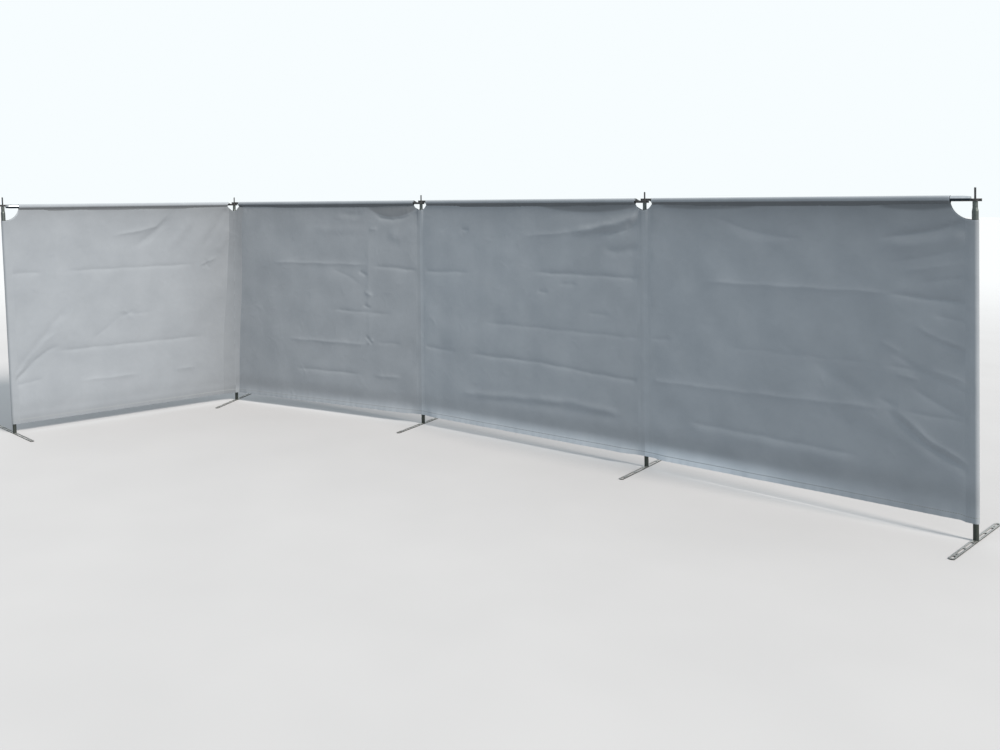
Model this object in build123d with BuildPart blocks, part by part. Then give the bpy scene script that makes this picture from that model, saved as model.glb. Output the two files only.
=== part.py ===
"""Beach windbreak: five steel poles on flat feet, four cloth bays hung from rails."""

from math import cos, radians, sin, sqrt
import os

from build123d import *

os.makedirs("parts", exist_ok=True)

# Plan of the wall, seen from above, millimetres and degrees
bay_length = 1560.0  # pole axis to pole axis
turn_at_pole = {2: -67.0, 3: -10.4, 4: -5.0}  # change of heading, walking from pole 1 to pole 5
pole_1_lean_in = 50.0  # how far the foot of pole 1 stands in from under its pin

# Heights above the floor
rail_height = 1420.0  # axis of every rail
hem_height = 60.0
end_hem_rise = 20.0  # the cloth rides up this much on pole 5

# Poles
upper_tube_radius = 12.5
upper_tube_wall = 1.2
tube_slip = 0.3  # round the lower tube, inside the upper one
lower_tube_radius = upper_tube_radius - upper_tube_wall - tube_slip
lower_tube_wall = 1.2
lower_tube_top = 860.0
upper_tube_bottom = 640.0
neck_step_in = 2.5
neck_radius = upper_tube_radius - neck_step_in
neck_length = 26.0
neck_taper = 14.0
pin_radius = 4.0
pin_tip_round = 2.0
pin_above_shoulder = 58.0
pin_plug_length = 24.0
plug_clearance = 0.1

# Feet, flat bars of pressed steel with a row of slots each side of the pole
foot_length = 580.0
foot_width = 22.0
foot_height = 4.0
foot_sheet = 1.5
spigot_height = 40.0
spigot_clearance = 0.1
slot_width = 12.0
inner_slot_length = 80.0
inner_slot_centre = foot_length * 0.136
outer_slot_length = 74.0
outer_slot_centre = foot_length * 0.293
tip_slot_length = 32.0
tip_slot_centre = foot_length * 0.452
small_hole_radius = 4.0
outer_hole_place = foot_length * 0.391
inner_hole_place = 20.0  # just clear of the tube
foot_heading = {1: -6.0, 2: 113.0, 3: 97.0, 4: 90.0, 5: 82.0}  # long axis of each foot

# Rails and the eyes at their ends
rail_radius = 12.0
rail_wall = 1.2
rail_end_gap = 50.0  # pin axis to the end of the tube
eye_thickness = 11.6
eye_radius = 14.0
eye_hole_clearance = 0.5
eye_nose_reach = 25.0
eye_nose_width = 9.0
neck_root_width = 15.0
neck_root = 30.0  # pin axis to where the flat neck starts to swell, past the other eye's nose
spigot_length = 30.0
stacking_gap = 0.2

# Cloth
cloth_thickness = 2.0
sleeve_clearance = 0.4
sleeve_wall = 1.6
pocket_clearance = 0.6
pocket_wall = 1.5
cloth_gap = 0.3  # between a panel's edge and the pocket it hangs beside
inner_cut_width = {"left": 46.0, "right": 55.0}  # cut-outs at poles 2 to 4
inner_cut_depth = 50.0
end_cut_width = 92.0  # cut-outs at poles 1 and 5
end_cut_depth = 88.0

POLES = (1, 2, 3, 4, 5)
BAYS = (1, 2, 3, 4)

# Headings of the bays and places of the pins, worked out from pole 3 at the origin
heading = {3: 0.0}
heading[4] = heading[3] + turn_at_pole[4]
heading[2] = heading[3] - turn_at_pole[3]
heading[1] = heading[2] - turn_at_pole[2]


def along(angle):
    return Vector(cos(radians(angle)), sin(radians(angle)), 0)


pin_place = {3: Vector(0, 0, 0)}
pin_place[4] = pin_place[3] + along(heading[3]) * bay_length
pin_place[5] = pin_place[4] + along(heading[4]) * bay_length
pin_place[2] = pin_place[3] - along(heading[2]) * bay_length
pin_place[1] = pin_place[2] - along(heading[1]) * bay_length

# Each pole's foot on the floor and the direction of its axis
foot_place = dict(pin_place)
foot_place[1] = pin_place[1] + along(heading[1]) * pole_1_lean_in
pole_direction = {
    i: (pin_place[i] + Vector(0, 0, rail_height) - foot_place[i]).normalized() for i in POLES
}
lean_shift = {i: pole_1_lean_in if i == 1 else 0.0 for i in POLES}
lean_sine = {i: sin(pole_direction[i].get_angle(Vector(0, 0, 1)) * radians(1)) for i in POLES}

# The rail on the left of a pole has its eye below, the one on the right above
lower_eye_bottom = rail_height - eye_thickness - stacking_gap / 2
upper_eye_bottom = rail_height + stacking_gap / 2
hole_radius = pin_radius + eye_hole_clearance


def shoulder_height(i):
    """Top of pole i's tube, just under the lowest eye on its pin."""
    lowest_eye = upper_eye_bottom if i == 1 else lower_eye_bottom
    return lowest_eye - stacking_gap - neck_radius * lean_sine[i]


def pole_plane(i):
    """Across pole i at the floor, its Z along the pole."""
    bay = min(i, BAYS[-1])
    across = along(heading[bay] + 90)
    return Plane(origin=foot_place[i], x_dir=across, z_dir=pole_direction[i])


def pole_section(i):
    """A half plane through pole i's axis: X is the radius and Y runs up the pole."""
    level = pole_plane(i)
    return Plane(origin=foot_place[i], x_dir=level.x_dir, z_dir=level.x_dir.cross(level.z_dir))


def along_pole(i, height):
    """Distance up pole i's axis to a height above the floor."""
    return height / pole_direction[i].Z


def bay_section(b):
    """The upright plane of bay b: X from its left pin to its right pin, Y up."""
    forward = along(heading[b])
    return Plane(origin=pin_place[b], x_dir=forward, z_dir=forward.cross(Vector(0, 0, 1)))


def bay_level(b, height, end):
    """A level plane at one end of bay b, its origin on the pin and X towards the bay's middle."""
    pole = b if end == "left" else b + 1
    inward = along(heading[b]) if end == "left" else -along(heading[b])
    return Plane(origin=pin_place[pole] + Vector(0, 0, height), x_dir=inward, z_dir=(0, 0, 1))


# Poles
for i in POLES:
    level = pole_plane(i)
    section = pole_section(i)
    axis = Axis(foot_place[i], pole_direction[i])
    shoulder = along_pole(i, shoulder_height(i))
    floor_plane = Plane(origin=foot_place[i], x_dir=along(foot_heading[i]), z_dir=(0, 0, 1))
    foot_top = floor_plane.offset(foot_height)

    with BuildPart() as lower_tube:
        with BuildSketch(level):
            Circle(lower_tube_radius)
            Circle(lower_tube_radius - lower_tube_wall, mode=Mode.SUBTRACT)
        extrude(amount=lower_tube_top)
        split(bisect_by=foot_top, keep=Keep.TOP)
    lower_tube.part.label = f"pole_{i}_lower_tube"
    export_step(lower_tube.part, f"parts/pole_{i}_lower_tube.step")

    with BuildPart() as upper_tube:
        with BuildSketch(section):
            with BuildLine():
                Polyline(
                    (upper_tube_radius - upper_tube_wall, upper_tube_bottom),
                    (upper_tube_radius, upper_tube_bottom),
                    (upper_tube_radius, shoulder - neck_length - neck_taper),
                    (neck_radius, shoulder - neck_length),
                    (neck_radius, shoulder),
                    (neck_radius - upper_tube_wall, shoulder),
                    (neck_radius - upper_tube_wall, shoulder - neck_length),
                    (upper_tube_radius - upper_tube_wall, shoulder - neck_length - neck_taper),
                    close=True,
                )
            make_face()
        revolve(axis=axis)
    upper_tube.part.label = f"pole_{i}_upper_tube"
    export_step(upper_tube.part, f"parts/pole_{i}_upper_tube.step")

    plug_radius = neck_radius - upper_tube_wall - plug_clearance
    with BuildPart() as pin:
        with BuildSketch(level.offset(shoulder - pin_plug_length)):
            Circle(plug_radius)
        extrude(amount=pin_plug_length)
        with BuildSketch(level.offset(shoulder)):
            Circle(pin_radius)
        extrude(amount=pin_above_shoulder)
        fillet(pin.edges().sort_by(axis)[-1], pin_tip_round)
    pin.part.label = f"pole_{i}_pin"
    export_step(pin.part, f"parts/pole_{i}_pin.step")

    with BuildPart() as foot:
        with BuildSketch(floor_plane):
            SlotOverall(foot_length, foot_width)
        extrude(amount=foot_height)
        with BuildSketch(floor_plane):
            SlotOverall(foot_length - 2 * foot_sheet, foot_width - 2 * foot_sheet)
        extrude(amount=foot_height - foot_sheet, mode=Mode.SUBTRACT)
        with BuildSketch(foot_top):
            for side in (-1, 1):
                with Locations((side * inner_slot_centre, 0)):
                    SlotOverall(inner_slot_length, slot_width)
                with Locations((side * outer_slot_centre, 0)):
                    SlotOverall(outer_slot_length, slot_width)
                with Locations((side * tip_slot_centre, 0)):
                    SlotOverall(tip_slot_length, slot_width)
                with Locations((side * inner_hole_place, 0), (side * outer_hole_place, 0)):
                    Circle(small_hole_radius)
        extrude(amount=-foot_height, mode=Mode.SUBTRACT)
        with BuildSketch(level):
            Circle(lower_tube_radius - lower_tube_wall - spigot_clearance)
        extrude(amount=spigot_height)
        split(bisect_by=floor_plane, keep=Keep.TOP)
    foot.part.label = f"pole_{i}_foot"
    export_step(foot.part, f"parts/pole_{i}_foot.step")


def cut_out(b, end):
    """Width and depth of the cut-out in bay b's panel beside its left or right pole."""
    pole = b if end == "left" else b + 1
    if pole in (1, 5):
        return end_cut_width, end_cut_depth
    return inner_cut_width[end], inner_cut_depth


# Rails and eyes
for b in BAYS:
    forward = along(heading[b])
    rail_start = Plane(
        origin=pin_place[b] + forward * rail_end_gap + Vector(0, 0, rail_height),
        x_dir=(0, 0, 1),
        z_dir=forward,
    )
    rail_length = bay_length - 2 * rail_end_gap

    with BuildPart() as rail:
        with BuildSketch(rail_start):
            Circle(rail_radius)
            Circle(rail_radius - rail_wall, mode=Mode.SUBTRACT)
        extrude(amount=rail_length)
    rail.part.label = f"bay_{b}_rail"
    export_step(rail.part, f"parts/bay_{b}_rail.step")

    for end, eye_bottom in (("left", upper_eye_bottom), ("right", lower_eye_bottom)):
        level = bay_level(b, eye_bottom, end)
        inward = level.x_dir
        eye_middle = level.origin + Vector(0, 0, eye_thickness / 2)
        rail_axis_end = Vector(level.origin.X, level.origin.Y, rail_height) + inward * rail_end_gap
        neck_start = Plane(origin=eye_middle + inward * neck_root, x_dir=(0, 0, 1), z_dir=inward)
        tube_mouth = Plane(origin=rail_axis_end, x_dir=(0, 0, 1), z_dir=inward)
        nose_side = sqrt(eye_radius**2 - (eye_nose_width / 2) ** 2)

        with BuildPart() as eye:
            with BuildSketch(level):
                Circle(eye_radius)
                with BuildLine():
                    Polyline(
                        (0, 0),
                        (-nose_side, -eye_nose_width / 2),
                        (-eye_nose_reach, 0),
                        (-nose_side, eye_nose_width / 2),
                        close=True,
                    )
                make_face()
                with Locations((neck_root / 2, 0)):
                    Rectangle(neck_root, neck_root_width)
            extrude(amount=eye_thickness)
            with BuildSketch(neck_start):
                Rectangle(eye_thickness, neck_root_width)
            with BuildSketch(tube_mouth):
                Circle(rail_radius)
            loft()
            with BuildSketch(tube_mouth):
                Circle(rail_radius - rail_wall - spigot_clearance)
            extrude(amount=spigot_length)
            with BuildSketch(level):
                Circle(hole_radius)
            extrude(amount=eye_thickness, mode=Mode.SUBTRACT)
        eye.part.label = f"bay_{b}_eye_{end}"
        export_step(eye.part, f"parts/bay_{b}_eye_{end}.step")

# Cloth panels, each a thin slab under the sleeve that is sewn round its rail
pocket_inner = upper_tube_radius + pocket_clearance
pocket_outer = pocket_inner + pocket_wall
panel_edge = pocket_outer + cloth_gap
sleeve_inner = rail_radius + sleeve_clearance
sleeve_outer = sleeve_inner + sleeve_wall

for b in BAYS:
    section = bay_section(b)
    left_width, left_depth = cut_out(b, "left")
    right_width, right_depth = cut_out(b, "right")
    lean_at_hem = lean_shift[b] * (1 - hem_height / rail_height)
    right_rise = end_hem_rise if b == 4 else 0.0
    sleeve_start = Plane(
        origin=pin_place[b] + along(heading[b]) * left_width + Vector(0, 0, rail_height),
        x_dir=(0, 0, 1),
        z_dir=along(heading[b]),
    )
    sleeve_length = bay_length - left_width - right_width

    with BuildPart() as sleeve:
        with BuildSketch(sleeve_start):
            Circle(sleeve_outer)
            Circle(sleeve_inner, mode=Mode.SUBTRACT)
        extrude(amount=sleeve_length)
    sleeve.part.label = f"bay_{b}_sleeve"
    export_step(sleeve.part, f"parts/bay_{b}_sleeve.step")

    with BuildPart() as panel:
        with BuildSketch(section):
            with BuildLine():
                Polyline(
                    (panel_edge + lean_at_hem, hem_height),
                    (bay_length - panel_edge, hem_height + right_rise),
                    (bay_length - panel_edge, rail_height),
                    (panel_edge, rail_height),
                    close=True,
                )
            make_face()
            with Locations((0, rail_height)):
                Ellipse(left_width, left_depth, mode=Mode.SUBTRACT)
            with Locations((bay_length, rail_height)):
                Ellipse(right_width, right_depth, mode=Mode.SUBTRACT)
        extrude(amount=cloth_thickness / 2, both=True)
        with BuildSketch(sleeve_start.offset(-left_width)):
            Circle(sleeve_outer)
        extrude(amount=bay_length, mode=Mode.SUBTRACT)
    panel.part.label = f"bay_{b}_panel"
    export_step(panel.part, f"parts/bay_{b}_panel.step")

# Pole pockets, the stitched tubes of cloth that the poles stand in
for i in POLES:
    level = pole_plane(i)
    pocket_bottom = along_pole(i, hem_height + (end_hem_rise if i == 5 else 0.0))
    depth = end_cut_depth if i in (1, 5) else inner_cut_depth
    pocket_top = along_pole(i, rail_height - depth)

    with BuildPart() as pocket:
        with BuildSketch(level.offset(pocket_bottom)):
            Circle(pocket_outer)
            Circle(pocket_inner, mode=Mode.SUBTRACT)
        extrude(amount=pocket_top - pocket_bottom)
    pocket.part.label = f"pocket_{i}"
    export_step(pocket.part, f"parts/pocket_{i}.step")
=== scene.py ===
"""Beach windbreak: cloth, sleeves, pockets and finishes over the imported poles, rails and feet."""

from math import acos, cos, pi, radians, sin, sqrt

import bmesh
import bpy
import numpy as np
from mathutils import Matrix, Vector


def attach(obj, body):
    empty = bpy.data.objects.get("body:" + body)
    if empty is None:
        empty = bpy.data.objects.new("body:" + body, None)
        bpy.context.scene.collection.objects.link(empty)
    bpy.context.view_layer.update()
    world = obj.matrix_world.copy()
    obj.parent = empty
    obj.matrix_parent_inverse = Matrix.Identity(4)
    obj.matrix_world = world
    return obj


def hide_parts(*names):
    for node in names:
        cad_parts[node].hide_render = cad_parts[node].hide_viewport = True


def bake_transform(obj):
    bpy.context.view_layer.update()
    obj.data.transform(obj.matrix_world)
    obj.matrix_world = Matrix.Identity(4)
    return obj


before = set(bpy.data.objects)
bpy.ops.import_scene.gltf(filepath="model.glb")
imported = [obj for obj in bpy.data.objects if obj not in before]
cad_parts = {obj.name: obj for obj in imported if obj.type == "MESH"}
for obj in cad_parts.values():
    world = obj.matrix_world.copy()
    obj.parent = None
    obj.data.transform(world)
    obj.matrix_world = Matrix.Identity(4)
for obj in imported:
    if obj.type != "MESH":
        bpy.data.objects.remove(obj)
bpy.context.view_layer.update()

# Real sizes, metres and degrees
BAY_LENGTH = 1.56
RAIL_HEIGHT = 1.42
HEM_HEIGHT = 0.06
END_HEM_RISE = 0.02  # the cloth rides up this much on pole 5
POLE_1_LEAN = 0.05
TURN_AT_POLE = {2: -67.0, 3: -10.4, 4: -5.0}
INNER_CUT_WIDTH = {"left": 0.046, "right": 0.055}
INNER_CUT_DEPTH = 0.050
END_CUT_WIDTH = 0.092
END_CUT_DEPTH = 0.088
CLOTH_THICKNESS = 0.0008
PANEL_LIFT = 0.0134  # middle of the panel where it hangs between two poles
PANEL_TOP = 0.018  # rail axis down to the panel's top edge, between the sleeve's lips
SLEEVE_RADIUS = 0.0132
SLEEVE_SEAM = 0.0225  # rail axis down to the seam under the sleeve
SLEEVE_LIP = 0.0010  # each lip of the sleeve to the middle of the panel between them
POCKET_LIFT = 0.0143  # middle of the cloth that passes over a pole
POCKET_RADIUS = 0.0137  # middle of the cloth round the back of a pole
POCKET_TOP = 0.024  # rail axis down to the head of a pocket beside its cut-out
POCKET_SEAM = 0.042  # pole axis to the pocket's seams at poles 3 and 4, clear of each other when folded
END_POCKET_SEAM = 0.034
SEAM_OVERLAP = 0.004  # a panel runs on this far past its seams
STRIP_GAP = 0.0009  # front strip to back strip where both are sewn to a panel
PUCKER_LENGTH = 0.037  # the machine draws the cloth up this often along a seam

BAYS = (1, 2, 3, 4)
POLES = (1, 2, 3, 4, 5)
heading = {3: 0.0}
heading[4] = heading[3] + TURN_AT_POLE[4]
heading[2] = heading[3] - TURN_AT_POLE[3]
heading[1] = heading[2] - TURN_AT_POLE[2]


def along(angle):
    return Vector((cos(radians(angle)), sin(radians(angle)), 0))


pin_place = {3: Vector((0, 0, 0))}
pin_place[4] = pin_place[3] + along(heading[3]) * BAY_LENGTH
pin_place[5] = pin_place[4] + along(heading[4]) * BAY_LENGTH
pin_place[2] = pin_place[3] - along(heading[2]) * BAY_LENGTH
pin_place[1] = pin_place[2] - along(heading[1]) * BAY_LENGTH

# Camera, fitted to the pins, hems and feet in the photograph, metres and radians
camera_place = Vector((3.8255, -4.5038, 1.4398))
camera_yaw = -0.69663
camera_dip = 0.01295
camera_roll = 0.0101
look = Vector((sin(camera_yaw) * cos(camera_dip), cos(camera_yaw) * cos(camera_dip), -sin(camera_dip)))
level_right = Vector((cos(camera_yaw), -sin(camera_yaw), 0))
level_up = level_right.cross(look)
right = level_right * cos(camera_roll) - level_up * sin(camera_roll)
up = level_up * cos(camera_roll) + level_right * sin(camera_roll)
lens = bpy.data.cameras.new("camera")
lens.lens = 33.227
lens.sensor_width = 36
lens.shift_x = 0.0719
lens.shift_y = -0.1639
lens.clip_end = 200
camera = bpy.data.objects.new("camera", lens)
camera.matrix_world = Matrix.Translation(camera_place) @ Matrix((right, up, -look)).transposed().to_4x4()
bpy.context.collection.objects.link(camera)
bpy.context.scene.camera = camera
bpy.context.scene.view_settings.view_transform = "Standard"


# Materials

WAVE = 2 * pi / 20  # a wave texture of scale 1 repeats after this many metres


def colour(hex_code):
    """An sRGB hex colour as the linear value that a shader wants."""
    parts = [int(hex_code[i:i + 2], 16) / 255 for i in (1, 3, 5)]
    linear = [c / 12.92 if c <= 0.04045 else ((c + 0.055) / 1.055) ** 2.4 for c in parts]
    return (*linear, 1.0)


def add(tree, kind, inputs=None, stops=(), **settings):
    """Adds one node. An input given as a socket is linked, and any other value is set.

    The stops of a colour ramp are (position, hex colour) pairs.
    """
    made = tree.nodes.new(kind)
    for name, value in settings.items():
        setattr(made, name, value)
    for name, value in (inputs or {}).items():
        if isinstance(value, bpy.types.NodeSocket):
            tree.links.new(value, made.inputs[name])
        else:
            made.inputs[name].default_value = value
    if stops:
        points = made.color_ramp.elements
        while len(points) < len(stops):
            points.new(0.5)
        for point, (position, hex_code) in zip(points, stops):
            point.position = position
            point.color = colour(hex_code)
    return made


def new_material(name):
    """An empty material and its node tree."""
    made = bpy.data.materials.new(name)
    made.use_nodes = True
    made.node_tree.nodes.clear()
    return made, made.node_tree


def woven_polyester():
    """Plain-woven coated polyester, piece-dyed blue grey: matt, even, with a soft crushed hand."""
    made, tree = new_material("woven_polyester")
    metres = add(tree, "ShaderNodeUVMap", uv_map="cloth").outputs["UV"]
    edges = add(tree, "ShaderNodeSeparateXYZ",
                {"Vector": add(tree, "ShaderNodeUVMap", uv_map="edges").outputs["UV"]})
    # Clouds of dye and dust, 200 mm across
    cloud = add(tree, "ShaderNodeTexNoise",
                {"Vector": metres, "Scale": 1 / 0.200, "Detail": 4.0, "Roughness": 0.6})
    clouded = add(tree, "ShaderNodeValToRGB", {"Fac": cloud.outputs["Fac"]},
                  stops=((0.3, "#727A82"), (0.7, "#798189")))
    # Painted light and shade, one value for each place, come from the cloth's attribute and multiply the
    # dye's colour
    painted_shading_node = add(tree, "ShaderNodeAttribute", attribute_name="painted_light_and_shade")
    dyed = add(tree, "ShaderNodeVectorMath", {0: clouded.outputs["Color"], 1: painted_shading_node.outputs["Vector"]},
               operation="MULTIPLY")
    # Threads are 0.4 mm apart and too fine to show, so they are drawn 2.5 mm apart
    warp = add(tree, "ShaderNodeTexWave", {"Vector": metres, "Scale": WAVE / 0.0025}, bands_direction="X")
    weft = add(tree, "ShaderNodeTexWave", {"Vector": metres, "Scale": WAVE / 0.0025}, bands_direction="Y")
    threads = add(tree, "ShaderNodeMath", {0: warp.outputs["Fac"], 1: weft.outputs["Fac"]}, operation="ADD")
    # Bound edge of the cut-outs, 6 mm wide and paler, with painted shade along the very edge where it folds
    # over
    from_edge = add(tree, "ShaderNodeMapRange", {"Value": edges.outputs["X"], "From Max": 0.010})
    binding_and_edge_shade = add(tree, "ShaderNodeValToRGB", {"Fac": from_edge.outputs["Result"]},
                  stops=((0.08, "#757575"), (0.20, "#D8D8D8"), (0.55, "#D8D8D8"), (0.68, "#C6C6C6")))
    # The last stop, times this, leaves the rest of the cloth its own colour
    relative = add(tree, "ShaderNodeVectorMath", {0: binding_and_edge_shade.outputs["Color"], "Scale": 1.77},
                   operation="SCALE")
    bound = add(tree, "ShaderNodeVectorMath", {0: dyed.outputs[0], 1: relative.outputs[0]},
                operation="MULTIPLY")
    # Hem stitching 24 mm up, stitches of 6 mm with gaps of 4 mm, its thread drawn wide so that it shows
    above_stitch = add(tree, "ShaderNodeMath", {0: edges.outputs["Y"], 1: 0.024}, operation="SUBTRACT")
    from_stitch = add(tree, "ShaderNodeMath", {0: above_stitch.outputs[0]}, operation="ABSOLUTE")
    on_line = add(tree, "ShaderNodeMapRange", {"Value": from_stitch.outputs[0], "From Min": 0.001,
                                               "From Max": 0.0025, "To Min": 1.0, "To Max": 0.0})
    run = add(tree, "ShaderNodeSeparateXYZ", {"Vector": metres})
    in_stitch = add(tree, "ShaderNodeMath", {0: run.outputs["X"], 1: 0.005}, operation="PINGPONG")
    on_stitch = add(tree, "ShaderNodeMapRange", {"Value": in_stitch.outputs[0], "From Min": 0.0028,
                                                 "From Max": 0.0033, "To Min": 1.0, "To Max": 0.35})
    thread = add(tree, "ShaderNodeMath", {0: on_line.outputs["Result"], 1: on_stitch.outputs["Result"]},
                 operation="MULTIPLY")
    stitched = add(tree, "ShaderNodeMix", {0: thread.outputs[0], 6: bound.outputs[0], 7: colour("#6C7377")},
                   data_type="RGBA")
    # Crushed hand, ridges about 70 mm apart with finer ones between them
    crushed = add(tree, "ShaderNodeTexNoise",
                  {"Vector": metres, "Scale": 14.0, "Detail": 3.0, "Roughness": 0.55, "Distortion": 0.6},
                  noise_type="RIDGED_MULTIFRACTAL")
    rumpled = add(tree, "ShaderNodeBump",
                  {"Height": crushed.outputs["Fac"], "Strength": 0.30, "Distance": 0.004})
    woven = add(tree, "ShaderNodeBump", {"Height": threads.outputs[0], "Strength": 0.25, "Distance": 0.0003,
                                         "Normal": rumpled.outputs["Normal"]})
    shader = add(tree, "ShaderNodeBsdfPrincipled",
                 {"Base Color": stitched.outputs[2], "Roughness": 0.85, "IOR": 1.45, "Sheen Weight": 0.15,
                  "Sheen Roughness": 0.5, "Normal": woven.outputs["Normal"]})
    add(tree, "ShaderNodeOutputMaterial", {"Surface": shader.outputs["BSDF"]})
    return made


def weathered_zinc(name, dark, light):
    """Hot-dip galvanised steel tube, weathered: a dull grey skin with faint spangle and drawn streaks."""
    made, tree = new_material(name)
    place = add(tree, "ShaderNodeTexCoord").outputs["Object"]
    # Streaks 3 mm wide and 170 mm long
    streak = add(tree, "ShaderNodeMapping", {"Vector": place, "Scale": (300, 300, 6)})
    drawn = add(tree, "ShaderNodeTexNoise", {"Vector": streak.outputs["Vector"], "Scale": 1.0, "Detail": 3.0})
    # Spangle of 6 mm
    spangle = add(tree, "ShaderNodeTexVoronoi", {"Vector": place, "Scale": 160.0})
    mixed = add(tree, "ShaderNodeMix", {0: 0.3, 2: drawn.outputs["Fac"], 3: spangle.outputs["Distance"]})
    skin = add(tree, "ShaderNodeValToRGB", {"Fac": mixed.outputs[0]}, stops=((0.25, dark), (0.75, light)))
    bump = add(tree, "ShaderNodeBump", {"Height": drawn.outputs["Fac"], "Strength": 0.15, "Distance": 0.0004})
    shader = add(tree, "ShaderNodeBsdfPrincipled",
                 {"Base Color": skin.outputs["Color"], "Metallic": 0.9, "Roughness": 0.5,
                  "Normal": bump.outputs["Normal"]})
    add(tree, "ShaderNodeOutputMaterial", {"Surface": shader.outputs["BSDF"]})
    return made


def plated_steel():
    """Bright zinc-plated steel tube: a mirror gone slightly soft, clouded in patches of 11 mm, with a painted
    reflection: bright above, blue black below.
    """
    made, tree = new_material("plated_steel")
    coordinates = add(tree, "ShaderNodeTexCoord")
    patches = add(tree, "ShaderNodeTexNoise",
                  {"Vector": coordinates.outputs["Object"], "Scale": 90.0, "Detail": 4.0})
    bright = add(tree, "ShaderNodeValToRGB", {"Fac": patches.outputs["Fac"]},
                 stops=((0.35, "#B9BEC4"), (0.65, "#C9CDD1")))
    # Painted reflection: the upper side painted bright for the sky it reflects, the underside painted blue
    # black for the dark ground it reflects
    facing = add(tree, "ShaderNodeSeparateXYZ", {"Vector": coordinates.outputs["Normal"]})
    painted_reflection_share = add(tree, "ShaderNodeMapRange",
                {"Value": facing.outputs["Z"], "From Min": -0.05, "From Max": 0.22})
    skin = add(tree, "ShaderNodeMix",
               {0: painted_reflection_share.outputs["Result"], 6: colour("#2A323A"), 7: bright.outputs["Color"]},
               data_type="RGBA")
    rough = add(tree, "ShaderNodeMapRange", {"Value": patches.outputs["Fac"], "To Min": 0.14, "To Max": 0.26})
    shader = add(tree, "ShaderNodeBsdfPrincipled",
                 {"Base Color": skin.outputs[2], "Metallic": 1.0, "Roughness": rough.outputs["Result"]})
    add(tree, "ShaderNodeOutputMaterial", {"Surface": shader.outputs["BSDF"]})
    return made


def turned_rod():
    """Plain turned steel rod: dark grey and satin, ringed by the tool."""
    made, tree = new_material("turned_steel_rod")
    place = add(tree, "ShaderNodeTexCoord").outputs["Object"]
    # The tool's rings are 0.2 mm apart and too fine to show, so they are drawn 1.2 mm apart
    rings = add(tree, "ShaderNodeTexWave", {"Vector": place, "Scale": 260.0, "Distortion": 0.4},
                bands_direction="Z")
    skin = add(tree, "ShaderNodeValToRGB", {"Fac": rings.outputs["Fac"]},
               stops=((0.2, "#313335"), (0.8, "#424547")))
    shader = add(tree, "ShaderNodeBsdfPrincipled",
                 {"Base Color": skin.outputs["Color"], "Metallic": 0.9, "Roughness": 0.42})
    add(tree, "ShaderNodeOutputMaterial", {"Surface": shader.outputs["BSDF"]})
    return made


def pressed_foot():
    """Pressed galvanised strip steel: pale grey, scuffed in patches of 17 mm by the sand it lies on."""
    made, tree = new_material("pressed_galvanised_strip")
    coordinates = add(tree, "ShaderNodeTexCoord")
    scuff = add(tree, "ShaderNodeTexNoise",
                {"Vector": coordinates.outputs["Object"], "Scale": 60.0, "Detail": 6.0, "Roughness": 0.7})
    plated = add(tree, "ShaderNodeValToRGB", {"Fac": scuff.outputs["Fac"]},
                 stops=((0.3, "#8A8D8C"), (0.7, "#B4B7B6")))
    # Painted shade on every face that doesn't face up, the sheared edges among them
    facing = add(tree, "ShaderNodeSeparateXYZ", {"Vector": coordinates.outputs["Normal"]})
    top = add(tree, "ShaderNodeMapRange", {"Value": facing.outputs["Z"], "From Min": 0.5, "From Max": 0.8})
    skin = add(tree, "ShaderNodeMix",
               {0: top.outputs["Result"], 6: colour("#3C3E3C"), 7: plated.outputs["Color"]}, data_type="RGBA")
    bump = add(tree, "ShaderNodeBump", {"Height": scuff.outputs["Fac"], "Strength": 0.2, "Distance": 0.0005})
    shader = add(tree, "ShaderNodeBsdfPrincipled",
                 {"Base Color": skin.outputs[2], "Metallic": 0.8, "Roughness": 0.45,
                  "Normal": bump.outputs["Normal"]})
    add(tree, "ShaderNodeOutputMaterial", {"Surface": shader.outputs["BSDF"]})
    return made


def moulded_nylon():
    """Injection-moulded black nylon: near black, softly glossy, with a fine spark-eroded grain."""
    made, tree = new_material("moulded_nylon")
    place = add(tree, "ShaderNodeTexCoord").outputs["Object"]
    # Grain of 0.1 mm is too fine to show, so it is drawn 1.1 mm across
    grain = add(tree, "ShaderNodeTexNoise", {"Vector": place, "Scale": 900.0, "Detail": 2.0})
    skin = add(tree, "ShaderNodeValToRGB", {"Fac": grain.outputs["Fac"]},
               stops=((0.3, "#141516"), (0.7, "#1E2022")))
    bump = add(tree, "ShaderNodeBump", {"Height": grain.outputs["Fac"], "Strength": 0.2, "Distance": 0.0002})
    shader = add(tree, "ShaderNodeBsdfPrincipled",
                 {"Base Color": skin.outputs["Color"], "Roughness": 0.4, "IOR": 1.53,
                  "Normal": bump.outputs["Normal"]})
    add(tree, "ShaderNodeOutputMaterial", {"Surface": shader.outputs["BSDF"]})
    return made


def plain_floor():
    """A pale matt studio floor that grows paler far off, so that it runs into the sky with no horizon."""
    made, tree = new_material("pale_floor")
    place = add(tree, "ShaderNodeTexCoord").outputs["Object"]
    mottle = add(tree, "ShaderNodeTexNoise", {"Vector": place, "Scale": 1.5})
    near = add(tree, "ShaderNodeValToRGB", {"Fac": mottle.outputs["Fac"]},
               stops=((0.3, "#A0A3A7"), (0.7, "#A3A6AA")))
    distance = add(tree, "ShaderNodeVectorMath", {0: place}, operation="LENGTH")
    far_off = add(tree, "ShaderNodeMapRange",
                  {"Value": distance.outputs["Value"], "From Min": 3.0, "From Max": 14.0},
                  interpolation_type="SMOOTHSTEP")
    skin = add(tree, "ShaderNodeMix",
               {0: far_off.outputs["Result"], 6: near.outputs["Color"], 7: colour("#B5BABF")},
               data_type="RGBA")
    shader = add(tree, "ShaderNodeBsdfPrincipled", {"Base Color": skin.outputs[2], "Roughness": 0.9})
    add(tree, "ShaderNodeOutputMaterial", {"Surface": shader.outputs["BSDF"]})
    return made


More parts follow.
